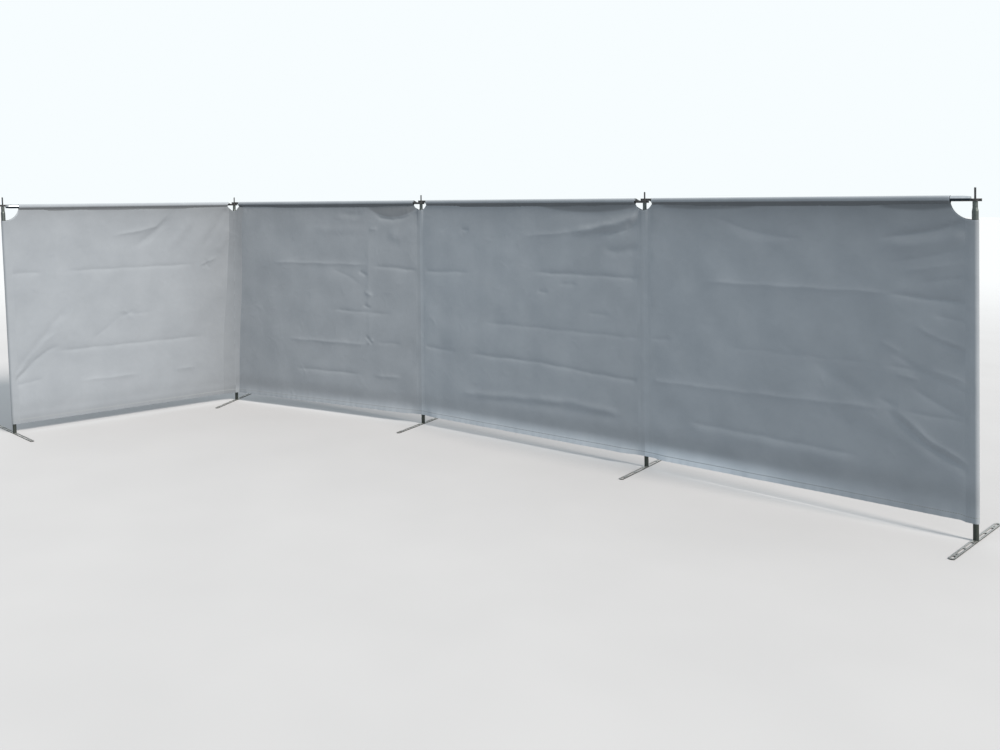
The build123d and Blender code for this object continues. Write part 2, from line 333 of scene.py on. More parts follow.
cloth = woven_polyester()
nylon = moulded_nylon()
finishes = {
    "lower_tube": weathered_zinc("weathered_zinc_lower_tube", "#313634", "#454B48"),
    "upper_tube": weathered_zinc("weathered_zinc_upper_tube", "#434A4A", "#59605F"),
    "pin": turned_rod(),
    "foot": pressed_foot(),
    "rail": plated_steel(),
    "eye_left": nylon,
    "eye_right": nylon,
}
hardware = {f"pole_{i}_{part}": part for i in POLES for part in ("lower_tube", "upper_tube", "pin", "foot")}
hardware.update({f"bay_{b}_{part}": part for b in BAYS for part in ("rail", "eye_left", "eye_right")})
for node, part in hardware.items():
    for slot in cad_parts[node].material_slots:
        slot.material = finishes[part]


# Shape of the cloth

def smooth(value, low, high):
    """0 below low and 1 above high, with an even rise between them."""
    t = np.clip((value - low) / (high - low), 0, 1)
    return t * t * (3 - 2 * t)


# Seams of the cloth that crosses the corner at pole 2: heights, and distances from the pole on each side
corner_heights = (0.06, 0.37, 0.58, 0.85, 1.20, 1.37)
corner_seams = {"left": (0.105, 0.105, 0.093, 0.070, 0.050, 0.045),
                "right": (0.040, 0.045, 0.060, 0.075, 0.080, 0.085)}


def seam_gap(pole, side, z):
    """Distance from a pole's axis to the seam in the bay on its left or right."""
    if pole == 2:
        return np.interp(z, corner_heights, corner_seams[side])
    return (END_POCKET_SEAM if pole in (1, 5) else POCKET_SEAM) + 0 * z


def lean(pole, z):
    """How far a pole's axis stands inwards from its pin at a height."""
    return POLE_1_LEAN * (1 - z / RAIL_HEIGHT) if pole == 1 else 0 * z


def left_seam(b, z):
    """Distance along bay b to the seam of the pocket on its left."""
    return lean(b, z) + seam_gap(b, "right", z)


def right_seam(b, z):
    """Distance along bay b to the seam of the pocket on its right."""
    return BAY_LENGTH - seam_gap(b + 1, "left", z)


def hem_line(b, s):
    """Height of the hem at a distance along bay b. It rises to pole 5, and dips where it meets the pocket."""
    if b != 4:
        return HEM_HEIGHT + 0 * s
    return HEM_HEIGHT + END_HEM_RISE * s / BAY_LENGTH - 0.006 * smooth(s, 1.50, 1.535)


def cut_edge(pole, side, s):
    """Height of the cut-out's edge at a distance from the pole. side is where the bay lies."""
    if pole in (1, 5):
        wide, deep = END_CUT_WIDTH, END_CUT_DEPTH
    else:
        wide, deep = INNER_CUT_WIDTH["left" if side == "right" else "right"], INNER_CUT_DEPTH
    return RAIL_HEIGHT - deep * np.sqrt(np.clip(1 - (s / wide) ** 2, 0, 1))


def top_edge(b, s):
    """Height of a panel's top edge."""
    at_left = cut_edge(b, "right", s)
    at_right = cut_edge(b + 1, "left", BAY_LENGTH - s)
    return np.minimum(np.minimum(at_left, at_right), RAIL_HEIGHT - PANEL_TOP)


# Creases in each bay: rise in mm towards the viewer, half width in mm, then points (distance
# along the bay, height) in metres. The cloth was packed folded at four heights.
CREASE_GAIN = 1.7  # creases stand this much prouder than their listed rise
SHARP_BELOW = 15  # half width in mm below which a crease is sharp
creases = {
    1: (
        (-2.2, 12, ((0.05, 1.00), (0.24, 1.00))), (-2.6, 12, ((0.35, 1.00), (1.27, 1.00))),
        (3.0, 11, ((1.28, 0.99), (1.42, 1.04))), (-3.0, 11, ((1.30, 0.97), (1.36, 1.02))),
        (-2.2, 10, ((1.32, 1.04), (1.36, 0.95))), (-1.6, 12, ((0.65, 0.69), (0.97, 0.69))),
        (1.8, 11, ((0.73, 0.73), (0.81, 0.65))), (-1.8, 11, ((0.72, 0.66), (0.82, 0.72))),
        (-2.6, 12, ((0.28, 0.49), (1.33, 0.49))), (2.4, 12, ((0.42, 0.28), (0.87, 0.28))),
        (2.4, 12, ((1.08, 0.28), (1.25, 0.28))), (1.4, 14, ((0.31, 1.38), (0.31, 0.90))),
        (4.0, 14, ((0.66, 1.215), (0.82, 1.24), (0.97, 1.27), (1.08, 1.37))),
        (-4.5, 18, ((0.80, 1.13), (0.94, 1.21), (1.09, 1.35))),
        (3.0, 22, ((1.05, 1.10), (1.16, 1.22), (1.24, 1.36))),
        (-3.5, 20, ((1.30, 1.10), (1.40, 1.24), (1.48, 1.36))),
        (3.0, 20, ((1.42, 1.06), (1.50, 1.22))),
        (-5.0, 14, ((0.06, 0.33), (0.16, 0.43), (0.25, 0.50), (0.34, 0.53))),
        (-3.0, 16, ((0.06, 0.38), (0.18, 0.53), (0.32, 0.70), (0.40, 0.80))),
        (3.0, 14, ((0.06, 0.36), (0.16, 0.49), (0.26, 0.58), (0.34, 0.63))),
        (-2.4, 12, ((0.06, 0.30), (0.15, 0.31), (0.24, 0.33))),
        (-1.8, 14, ((0.52, 0.52), (0.66, 0.64), (0.76, 0.70))),
    ),
    2: (
        (2.0, 12, ((0.34, 1.01), (1.17, 1.01))), (-2.4, 12, ((1.17, 1.005), (1.52, 0.985))),
        (0.7, 12, ((1.16, 1.22), (1.16, 0.45))), (-2.4, 10, ((1.08, 0.97), (1.15, 0.93))),
        (2.2, 10, ((1.12, 0.83), (1.19, 0.80))), (-2.0, 10, ((1.11, 0.74), (1.18, 0.72))),
        (-2.6, 10, ((1.13, 0.54), (1.19, 0.48))), (2.4, 10, ((1.14, 0.48), (1.20, 0.52))),
        (-1.8, 12, ((0.82, 0.70), (1.36, 0.69))), (2.2, 12, ((0.47, 0.48), (1.17, 0.48))),
        (-1.4, 12, ((1.20, 0.50), (1.42, 0.50))), (-2.2, 12, ((0.53, 0.28), (1.12, 0.28))),
        (2.0, 12, ((1.17, 0.28), (1.42, 0.28))), (-1.2, 14, ((0.85, 0.98), (1.02, 0.92), (1.12, 0.86))),
        (-3.5, 14, ((1.17, 1.37), (1.26, 1.32), (1.35, 1.305), (1.44, 1.32), (1.53, 1.36))),
        (3.0, 30, ((1.30, 1.22), (1.40, 1.20), (1.53, 1.26))),
        (-2.0, 16, ((0.90, 1.345), (1.13, 1.34))), (1.4, 20, ((0.68, 1.24), (1.16, 1.24))),
        (1.8, 11, ((1.16, 1.24), (1.23, 1.25))),
    ),
    3: (
        (-2.0, 12, ((0.06, 0.98), (0.42, 0.99))), (-2.8, 11, ((0.82, 1.01), (1.20, 1.01), (1.52, 1.005))),
        (-1.6, 12, ((0.48, 0.69), (1.55, 0.685))),
        (-2.8, 12, ((0.37, 0.49), (0.90, 0.49), (1.25, 0.465), (1.50, 0.455))),
        (-2.0, 12, ((0.05, 0.50), (0.30, 0.49))),
        (2.8, 15, ((0.30, 0.24), (0.75, 0.265), (1.12, 0.285), (1.44, 0.26))),
        (-1.8, 20, ((0.50, 0.235), (0.90, 0.245), (1.44, 0.235))),
        (2.2, 13, ((0.76, 1.215), (1.05, 1.24), (1.25, 1.26))),
        (7.0, 15, ((1.10, 1.245), (1.29, 1.275), (1.40, 1.295), (1.48, 1.325), (1.53, 1.36))),
        (-5.0, 13, ((1.24, 1.235), (1.36, 1.240), (1.46, 1.265), (1.54, 1.31))),
        (-2.8, 16, ((1.30, 1.15), (1.40, 1.145), (1.52, 1.165))),
        (-3.0, 18, ((0.95, 1.365), (1.30, 1.345), (1.50, 1.372))),
        (-2.2, 10, ((0.31, 1.25), (0.39, 1.25))), (-1.6, 10, ((0.88, 0.90), (0.96, 0.895))),
        (-1.6, 12, ((1.02, 0.95), (1.16, 0.95))), (-1.4, 12, ((1.20, 0.80), (1.36, 0.79))),
    ),
    4: (
        (2.6, 11, ((0.32, 1.01), (1.25, 1.01))), (-4.4, 10, ((1.20, 1.008), (1.40, 0.995), (1.54, 0.985))),
        (-1.8, 12, ((0.03, 0.69), (0.17, 0.70))), (-1.0, 12, ((0.45, 0.69), (1.20, 0.69))),
        (-1.6, 11, ((1.20, 0.69), (1.37, 0.68))), (2.4, 12, ((0.07, 0.47), (0.60, 0.48), (1.23, 0.50))),
        (3.6, 12, ((1.23, 0.515), (1.30, 0.460), (1.40, 0.384), (1.54, 0.312))),
        (-4.6, 13, ((1.20, 0.505), (1.29, 0.438), (1.39, 0.362), (1.54, 0.288))),
        (-2.0, 11, ((1.27, 0.50), (1.54, 0.49))),
        (1.6, 24, ((1.02, 0.50), (1.22, 0.42), (1.40, 0.315), (1.53, 0.26))),
        (-2.4, 12, ((0.23, 0.285), (0.60, 0.28), (1.12, 0.27))), (1.8, 20, ((0.23, 0.255), (1.12, 0.24))),
        (-2.4, 13, ((0.36, 1.345), (0.50, 1.30), (0.64, 1.255), (0.86, 1.235))),
        (1.2, 18, ((0.44, 1.27), (0.60, 1.225), (0.80, 1.21))),
        (-6.0, 14, ((1.16, 1.245), (1.32, 1.27), (1.44, 1.295), (1.54, 1.325))),
        (3.0, 18, ((1.16, 1.205), (1.32, 1.225), (1.46, 1.25), (1.54, 1.27))),
        (-2.4, 14, ((1.20, 1.13), (1.36, 1.17), (1.53, 1.21))),
        (2.0, 14, ((1.26, 1.10), (1.40, 1.13), (1.53, 1.15))),
        (-2.0, 12, ((1.34, 1.06), (1.53, 1.09))),
        (2.0, 11, ((1.32, 0.885), (1.42, 0.83), (1.54, 0.79))),
        (-2.6, 11, ((1.34, 0.862), (1.44, 0.808), (1.54, 0.772))),
        (1.8, 10, ((1.18, 0.80), (1.28, 0.75))), (-1.8, 11, ((1.22, 0.76), (1.34, 0.69), (1.54, 0.61))),
        (1.6, 10, ((1.24, 0.66), (1.36, 0.64))), (-2.2, 11, ((1.30, 0.62), (1.42, 0.55), (1.54, 0.50))),
        (1.6, 12, ((1.36, 0.70), (1.54, 0.65))), (-1.6, 11, ((1.40, 0.93), (1.54, 0.90))),
        (-2.2, 24, ((0.85, 0.70), (1.05, 0.58), (1.18, 0.50))), (-1.8, 22, ((0.95, 0.46), (1.10, 0.39))),
        (-2.2, 11, ((1.17, 0.55), (1.27, 0.51))),
    ),
}


def line_gap(s, z, points):
    """Distance from each place on the cloth to a line through points, how far along it, and its length."""
    nearest = np.full(np.shape(s), 9.0)
    reached = np.zeros(np.shape(s))
    before = 0.0
    for (s0, z0), (s1, z1) in zip(points, points[1:]):
        ds, dz = s1 - s0, z1 - z0
        length = float(np.hypot(ds, dz))
        t = np.clip(((s - s0) * ds + (z - z0) * dz) / (length * length), 0, 1)
        gap = np.hypot(s - s0 - t * ds, z - z0 - t * dz)
        reached = np.where(gap < nearest, before + t * length, reached)
        nearest = np.minimum(nearest, gap)
        before += length
    return nearest, reached, before


def creased(b, s, z):
    """How far the creases of bay b lift the cloth."""
    # No crease is quite straight, as even, or cut off short
    strayed_z = z + 0.0018 * np.sin(2 * pi * s / 0.21 + b) + 0.0006 * np.sin(2 * pi * s / 0.051 + 2 * b)
    strayed_s = s + 0.003 * np.sin(2 * pi * z / 0.11 + b) + 0 * z
    lift = np.zeros(np.shape(s + z))
    for number, (rise, half_width, points) in enumerate(creases[b]):
        gap, reached, length = line_gap(strayed_s, strayed_z, points)
        gap = gap / (half_width / 1000)
        if half_width < SHARP_BELOW:
            shape = np.exp(0.25 - np.hypot(gap, 0.25))
        else:
            shape = np.exp(-gap * gap / 2)
        # It fades out at both ends, but not where it is drawn from a seam
        fade = min(0.3 * length, 0.12)
        if 0.11 < points[0][0] < BAY_LENGTH - 0.11:
            shape = shape * smooth(reached, 0.0, fade)
        if 0.11 < points[-1][0] < BAY_LENGTH - 0.11:
            shape = shape * (1 - smooth(reached, length - fade, length))
        uneven = 0.95 + 0.09 * np.sin(2 * pi * reached / 0.35 + 3 * number)
        uneven = uneven + 0.05 * np.sin(2 * pi * reached / 0.13 + number)
        lift += CREASE_GAIN * rise / 1000 * shape * uneven
    return lift


def slack(b, s, z):
    """Slack of the cloth between its poles: long waves that change from bay to bay."""
    waves = np.random.default_rng(40 + b)
    lift = 0
    for _ in range(12):
        angle = waves.uniform(0, pi)
        length = waves.uniform(0.12, 0.45)
        phase = waves.uniform(0, 2 * pi)
        lift = lift + 0.0016 * length * np.sin((s * cos(angle) + z * sin(angle)) * 2 * pi / length + phase)
    return lift


def puckered(b, s):
    """Puckers drawn up by the stitching under a sleeve, from -1 to 1, in uneven groups."""
    return np.sin(2 * pi * s / PUCKER_LENGTH + 2 * np.sin(s * 11 + b)) * np.sin(s * 7 + 2 * b)


def cloth_lift(b, s, z):
    """How far the cloth of bay b stands towards the viewer from under its rail."""
    under = RAIL_HEIGHT - z
    low = z - hem_line(b, s)
    near_pole = np.minimum(s, BAY_LENGTH - s)
    reach = 0.05 + 0.30 * smooth(near_pole, 0.05, 0.6)
    hang = PANEL_LIFT * (1 - np.exp(-np.clip(under - 0.012, 0, None) / reach))
    folds = creased(b, s, z) + slack(b, s, z)
    folds += 0.0009 * puckered(b, s) * np.exp(-np.clip(under - 0.02, 0, None) / 0.03)
    folds += 0.0008 * np.sin(2 * pi * s / 0.052 + 3 * np.sin(s * 9 + b)) * np.exp(-low / 0.035)
    # Seams and the sleeve hold the cloth flat beside them
    folds *= smooth(near_pole, 0.012, 0.075) * smooth(under, 0.018, 0.05)
    # The foot of the wall curls forward between pole 2 and pole 5, most of all at pole 4
    curl = {
        1: 0.002,
        2: 0.004 + 0.010 * smooth(s, 0.4, 1.5),
        3: 0.014 + 0.004 * smooth(s, 0.3, 1.4),
        4: 0.018 - 0.014 * smooth(s, 0.1, 1.2),
    }[b]
    curl = curl * smooth(near_pole, 0.03, 0.14) * np.clip(1 - low / 0.075, 0, 1) ** 1.6
    turned_up = 0.0008 * (1 - smooth(low, 0.024, 0.027))  # the hem is two layers thick
    return hang + folds + curl + turned_up


# Painted shadows of a sleeve's slack drooping under the rail onto the panel: from, to, and its depth, metres
sag_shadows = {
    1: (),
    2: ((1.15, 1.54, 0.062),),
    3: ((0.92, 1.52, 0.030),),
    4: ((0.10, 0.62, 0.014), (1.18, 1.50, 0.016)),
}
HEM_BAND_SHADE = {1: 0.08, 2: 0.12, 3: 0.11, 4: 0.10}  # how dark the band of painted shade above the hem's painted light is
HEM_PAINT_REACH = {1: 0.07, 2: 0.07, 3: 0.08, 4: 0.09}  # how high above the hem the painted light reaches


def painted_light_and_shade(b, s, z):
    """How much painted light and shade the cloth's colour takes at a place: painted shadow under the rail and
    the sagging sleeves, painted light and shade across the bays, painted light and shade along the hem.
    """
    under = RAIL_HEIGHT - z
    low = z - hem_line(b, s)
    # Painted light and shade across each bay: bay 1 shaded towards the corner at pole 2, bays 3 and 4 painted
    # brighter, less so to the right
    across = {
        1: 0.94 - 0.05 * smooth(s, 0.4, 1.1) - 0.16 * smooth(s, 1.0, 1.55),
        2: 0.99 + 0.03 * smooth(s, 0.2, 1.2),
        3: 1.20 - 0.07 * smooth(s, 0.3, 1.56),
        4: 1.17 - 0.12 * smooth(s, 0.2, 1.56),
    }[b]
    # Painted shadow of the sleeve, falling on the top of the panel
    top_shade = {1: 0.25, 2: 0.24, 3: 0.25 + 0.05 * smooth(s, 0.6, 1.4), 4: 0.32}[b]
    shaded = 1 - top_shade * np.exp(-np.clip(under - 0.02, 0, None) / 0.125)
    for start, end, depth in sag_shadows[b]:
        edge = 0.034 + depth * np.sin(pi * np.clip((s - start) / (end - start), 0, 1)) ** 0.8
        within = smooth(s, start - 0.03, start + 0.04) * (1 - smooth(s, end - 0.04, end + 0.02))
        shaded = shaded * (1 - 0.30 * within * (1 - smooth(under, edge - 0.010, edge + 0.004)))
    # Painted light along the hem in bays 2 to 4, painted shade along it in bay 1, and a band of painted shade
    # above it
    hem_light_and_shade = {
        1: -0.18,
        2: 0.12 + 0.10 * smooth(s, 0.2, 1.2),
        3: 0.30 + 0.14 * smooth(s, 0.0, 1.2),
        4: 0.74 - 0.68 * smooth(s, 0.3, 1.4),
    }[b]
    hem_painted = 1 + hem_light_and_shade * (1 - smooth(low, 0.020, HEM_PAINT_REACH[b]))
    hem_painted = hem_painted - HEM_BAND_SHADE[b] * np.exp(-((low - HEM_PAINT_REACH[b] - 0.02) / 0.045) ** 2)
    return across * shaded * hem_painted


# Sheets

HEM_ROWS = (0.0, 0.002, 0.008, 0.016, 0.0235, 0.0265, 0.034)  # rows above the hem
TOP_ROWS = (0.012, 0.009, 0.006, 0.003, 0.0)  # rows below the top edge
PANEL_ROWS = 212  # even rows between those
POCKET_ROWS = 150
UNBOUND = 0.05  # a gap to the edge that the binding doesn't reach


def cloth_rows(foot, head, count):
    """Heights of a sheet's rows from each column's foot to its head, close together at both."""
    low = [foot + rise for rise in HEM_ROWS]
    high = [head - drop for drop in TOP_ROWS]
    between = [low[-1] + (high[0] - low[-1]) * t for t in np.linspace(0, 1, count + 2)[1:-1]]
    return np.stack(low + between + high)


def spaced(length, edge, edge_step, step):
    """Shares of a length, close together within edge of both ends."""
    near = np.arange(0, edge, edge_step)
    middle = np.linspace(edge, length - edge, int((length - 2 * edge) / step))
    return np.concatenate((near, middle, length - near[::-1])) / length


def in_bay(b, s, lift, z):
    """World places from distance along bay b, lift towards the viewer and height."""
    ahead = along(heading[b])
    s, lift, z = np.broadcast_arrays(s, lift, z)
    x = pin_place[b].x + ahead.x * s + ahead.y * lift
    y = pin_place[b].y + ahead.y * s - ahead.x * lift
    return np.stack((x, y, z), axis=-1)


def closed(columns):
    """A loop's columns with the first one again at the end."""
    return np.concatenate((columns, columns[:, :1]), axis=1)


def round_loop(places):
    """How far round its loop each place is, row by row."""
    steps = np.linalg.norm(np.diff(places, axis=1), axis=2)
    return np.concatenate((np.zeros((len(places), 1)), np.cumsum(steps, axis=1)), axis=1)


def make_sheet(name, places, metres, edges, painted_shading_values):
    """A sheet of cloth from a grid of places, its seam joined where two columns meet.

    Its flat metres and its gaps to the cut edge and the hem go into UV maps, its painted light and shade into
    an attribute.
    """
    rows, columns = places.shape[:2]
    bm = bmesh.new()
    bmesh.ops.create_grid(bm, x_segments=columns - 1, y_segments=rows - 1, size=1)
    index = {}
    shade = bm.verts.layers.float.new("painted_light_and_shade")
    for vertex in bm.verts:
        column = round((vertex.co.x + 1) / 2 * (columns - 1))
        row = round((vertex.co.y + 1) / 2 * (rows - 1))
        index[vertex] = (row, column)
        vertex.co = Vector(places[row, column])
        vertex[shade] = float(painted_shading_values[row, column])
    for map_name, values in (("cloth", metres), ("edges", edges)):
        uv_map = bm.loops.layers.uv.new(map_name)
        for face in bm.faces:
            for loop in face.loops:
                loop[uv_map].uv = values[index[loop.vert]]
    bmesh.ops.remove_doubles(bm, verts=bm.verts, dist=1e-5)
    bmesh.ops.recalc_face_normals(bm, faces=bm.faces)
    mesh = bpy.data.meshes.new(name)
    bm.to_mesh(mesh)
    bm.free()
    piece = bpy.data.objects.new(name, mesh)
    bpy.context.collection.objects.link(piece)
    piece.data.materials.append(cloth)
    wall = piece.modifiers.new("thickness", "SOLIDIFY")
    wall.thickness = CLOTH_THICKNESS
    wall.offset = 0
    bpy.context.view_layer.update()
    finished = bpy.data.meshes.new_from_object(piece.evaluated_get(bpy.context.evaluated_depsgraph_get()))
    piece.modifiers.clear()
    piece.data = finished
    finished.name = name
    finished.shade_smooth()
    finished.set_sharp_from_angle(angle=radians(50))
    return piece


def across_bay(b, columns, z):
    """Distances along bay b of a panel's columns at heights z, just past the seams at both ends."""
    start = left_seam(b, z) - SEAM_OVERLAP
    end = right_seam(b, z) + SEAM_OVERLAP
    return start + (end - start) * columns


def hang_panel(b):
    """The cloth of one bay, under its sleeve and between two pockets."""
    columns = spaced(BAY_LENGTH, 0.08, 0.004, 0.009)
    # The seams lean, so a column's place shifts a little between its foot and its head
    head_s = across_bay(b, columns, np.full(columns.shape, RAIL_HEIGHT - PANEL_TOP))
    head = top_edge(b, across_bay(b, columns, top_edge(b, head_s)))
    foot = hem_line(b, across_bay(b, columns, np.full(columns.shape, HEM_HEIGHT)))
    z = cloth_rows(foot, head, PANEL_ROWS)
    s = across_bay(b, columns, z)
    lift = cloth_lift(b, s, z)
    # Tucked under the pockets' front strips, which lie flush with it
    for from_seam in (s - left_seam(b, z), right_seam(b, z) - s):
        lift = lift - 0.00015 * (1 - smooth(from_seam, 0.0, 0.008))
    slope = np.gradient(head) / np.maximum(np.gradient(head_s), 1e-6)
    in_cut = head < RAIL_HEIGHT - PANEL_TOP - 1e-4
    top_gap = np.where(in_cut, (head - z) / np.sqrt(1 + slope ** 2), UNBOUND)
    painted_cloth_shading = painted_light_and_shade(b, s, z)
    if b == 1:  # painted highlight on the binding by pole 1, where the sun falls full on it
        painted_cloth_shading = painted_cloth_shading * (1 + 0.18 * (top_gap < 0.0075) * (s < 0.11))
    piece = make_sheet(f"cloth_bay_{b}", in_bay(b, s, lift, z), np.stack((s + 2 * b, z), axis=-1),
                       np.stack((top_gap, z - foot), axis=-1), painted_cloth_shading)
    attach(piece, f"bay_{b}")
    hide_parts(f"bay_{b}_panel")


def sleeve_section():
    """Lift and rise from the rail's axis of a sleeve's section: front lip, round the rail, back lip."""
    # Angle from straight down to where the cloth leaves the seam's slope for the round
    touch = acos(SLEEVE_RADIUS / SLEEVE_SEAM)
    angle = np.linspace(touch, 2 * pi - touch, 25)
    round_lift, round_rise = SLEEVE_RADIUS * np.sin(angle), -SLEEVE_RADIUS * np.cos(angle)
    t = np.linspace(0, 1, 7)[:-1]
    slope_lift = SLEEVE_LIP + (round_lift[0] - SLEEVE_LIP) * t
    slope_rise = -SLEEVE_SEAM + (round_rise[0] + SLEEVE_SEAM) * t
    # The lips hang 7 mm past the seam
    lip_lift = np.full(2, SLEEVE_LIP)
    lip_rise = -SLEEVE_SEAM - np.array((0.007, 0.003))
    lift = np.concatenate((lip_lift, slope_lift, round_lift, -slope_lift[::-1], -lip_lift))
    rise = np.concatenate((lip_rise, slope_rise, round_rise, slope_rise[::-1], lip_rise[::-1]))
    return lift, rise


def hang_sleeve(b):
    """A strip folded over the rail of one bay and stitched to itself under it."""
    start = END_CUT_WIDTH if b == 1 else INNER_CUT_WIDTH["left"]
    end = BAY_LENGTH - (END_CUT_WIDTH if b == 4 else INNER_CUT_WIDTH["right"])
    s = np.linspace(start, end, 220)[:, None]
    lift, rise = sleeve_section()
    run = np.concatenate(([0], np.cumsum(np.hypot(np.diff(lift), np.diff(rise)))))
    near_seam = np.exp(-((rise + 0.016) / 0.006) ** 2) * np.sign(lift)
    places = in_bay(b, s, lift + 0.0008 * puckered(b, s) * near_seam, RAIL_HEIGHT + rise)
    # Painted highlight along the top of the sleeve, where the light catches it, and painted shade along its
    # underside
    below = 1 - smooth(rise, -0.0095, -0.0050)
    painted_shading_values = 1.0 - 0.58 * below + 0.25 * smooth(rise, 0.004, 0.012) + 0 * s
    metres = np.stack(np.broadcast_arrays(s + 2 * b, run), axis=-1)
    edges = np.stack(np.broadcast_arrays(np.minimum(s - start, end - s), 0.2 + 0 * rise), axis=-1)
    piece = make_sheet(f"sleeve_bay_{b}", places, metres, edges, painted_shading_values)
    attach(piece, f"bay_{b}")
    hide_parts(f"bay_{b}_sleeve")


FRONT = np.linspace(0, 1, 26)  # columns of a pocket's front strip, as shares of the way across it
BEND = np.linspace(radians(75), -radians(75), 14)  # columns of its back strip round the pole
RUN = np.linspace(0, 1, 8)[1:-1, None]  # columns of its back strip between a seam and the round


def front_places(i, z):
    """Distances from pole i of the front strip's columns at heights z, negative in the left bay."""
    from_left = seam_gap(i, "left", z)
    return -from_left + (from_left + seam_gap(i, "right", z)) * FRONT


def front_lift(i, x, z):
    """Lift of the front strip: that of the bays beside it, and over the pole between them."""
    skin = np.where(x < 0, cloth_lift(i - 1, BAY_LENGTH + np.minimum(x, 0), z),
                    cloth_lift(i, np.maximum(x, 0), z))
    over = np.maximum(skin, POCKET_LIFT)
    return skin + (over - skin) * (1 - smooth(np.abs(x), 0.010, 0.028))


def pocket_loop(i, foot):
    """Distance, lift and height of the loop round pole i: front strip, then back strip."""
    x = front_places(i, RAIL_HEIGHT - 0.03)
    head = np.where(x < 0, cut_edge(i, "left", np.abs(x)), cut_edge(i, "right", np.abs(x)))
    z = cloth_rows(np.full(FRONT.shape, foot), np.minimum(head, RAIL_HEIGHT - POCKET_TOP), POCKET_ROWS)
    x = front_places(i, z)
    front = np.stack((x, front_lift(i, x, z), z), axis=-1)
    # The back strip goes from the right seam straight to the pole, round it, and on to the left seam
    z = cloth_rows(np.full(BEND.shape, foot), np.full(BEND.shape, RAIL_HEIGHT - INNER_CUT_DEPTH), POCKET_ROWS)
    bend = np.stack((POCKET_RADIUS * np.sin(BEND) + 0 * z, -POCKET_RADIUS * np.cos(BEND) + 0 * z, z), axis=-1)
    z = front[:, -1, 2]
    gap = seam_gap(i, "right", z)
    at_right = np.stack((gap, cloth_lift(i, gap, z) - STRIP_GAP, z), axis=-1)
    z = front[:, 0, 2]
    gap = seam_gap(i, "left", z)
    at_left = np.stack((-gap, cloth_lift(i - 1, BAY_LENGTH - gap, z) - STRIP_GAP, z), axis=-1)
    to_bend = at_right[:, None] + (bend[:, :1] - at_right[:, None]) * RUN
    from_bend = bend[:, -1:] + (at_left[:, None] - bend[:, -1:]) * RUN
    return np.moveaxis(closed(np.concatenate((front, to_bend, bend, from_bend), axis=1)), -1, 0)


def wrap_pocket(i):
    """The pocket at one of poles 2 to 4: a front strip over the pole and a back strip round it."""
    foot = float(hem_line(i - 1, np.array(BAY_LENGTH)))
    x, lift, z = pocket_loop(i, foot)
    # The loop's frame turns from the left bay's heading to the right bay's across its width
    share = smooth(x, -seam_gap(i, "left", z[:, :1]), seam_gap(i, "right", z[:, FRONT.size - 1:FRONT.size]))
    angle = np.radians(heading[i - 1] + (heading[i] - heading[i - 1]) * share)
    places = np.stack((pin_place[i].x + np.cos(angle) * x + np.sin(angle) * lift,
                       pin_place[i].y + np.sin(angle) * x - np.cos(angle) * lift, z), axis=-1)
    painted_shading_values = np.where(x < 0, painted_light_and_shade(i - 1, BAY_LENGTH + x, z), painted_light_and_shade(i, x, z))
    if i == 2:
        # The viewer's side is the inside of the corner, so the cloth goes straight across it, a little slack
        start, end = places[:, :1], places[:, FRONT.size - 1:FRONT.size]
        t = FRONT[None, :, None]
        across = start + (end - start) * t
        across[..., 2] = z[:, :FRONT.size]
        inward = np.array((along(heading[1] + 90) + along(heading[2] + 90)).normalized())
        places[:, :FRONT.size] = across + 0.004 * np.sin(pi * t) * inward
        # Painted shade: it faces between the two bays, so the light falls on it otherwise than on them, and
        # it is painted darker, most on bay 2's side
        painted_shading_values = painted_shading_values * (0.96 - 0.24 * smooth(x, -0.004, 0.004))
    else:  # a little paler along the 8 mm over the middle of the pole, where it is stretched over it
        painted_shading_values = painted_shading_values * (1 + 0.03 * np.exp(-(x / 0.008) ** 2))
    girth = round_loop(places)
    in_cut = z[-1:] < RAIL_HEIGHT - POCKET_TOP - 1e-4
    top_gap = np.where(in_cut, z[-1:] - z, UNBOUND)
    piece = make_sheet(f"cloth_pocket_{i}", places, np.stack((girth + 20 + i, z), axis=-1),
                       np.stack((top_gap, z - foot), axis=-1), painted_shading_values)
    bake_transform(piece)
    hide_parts(f"pocket_{i}")


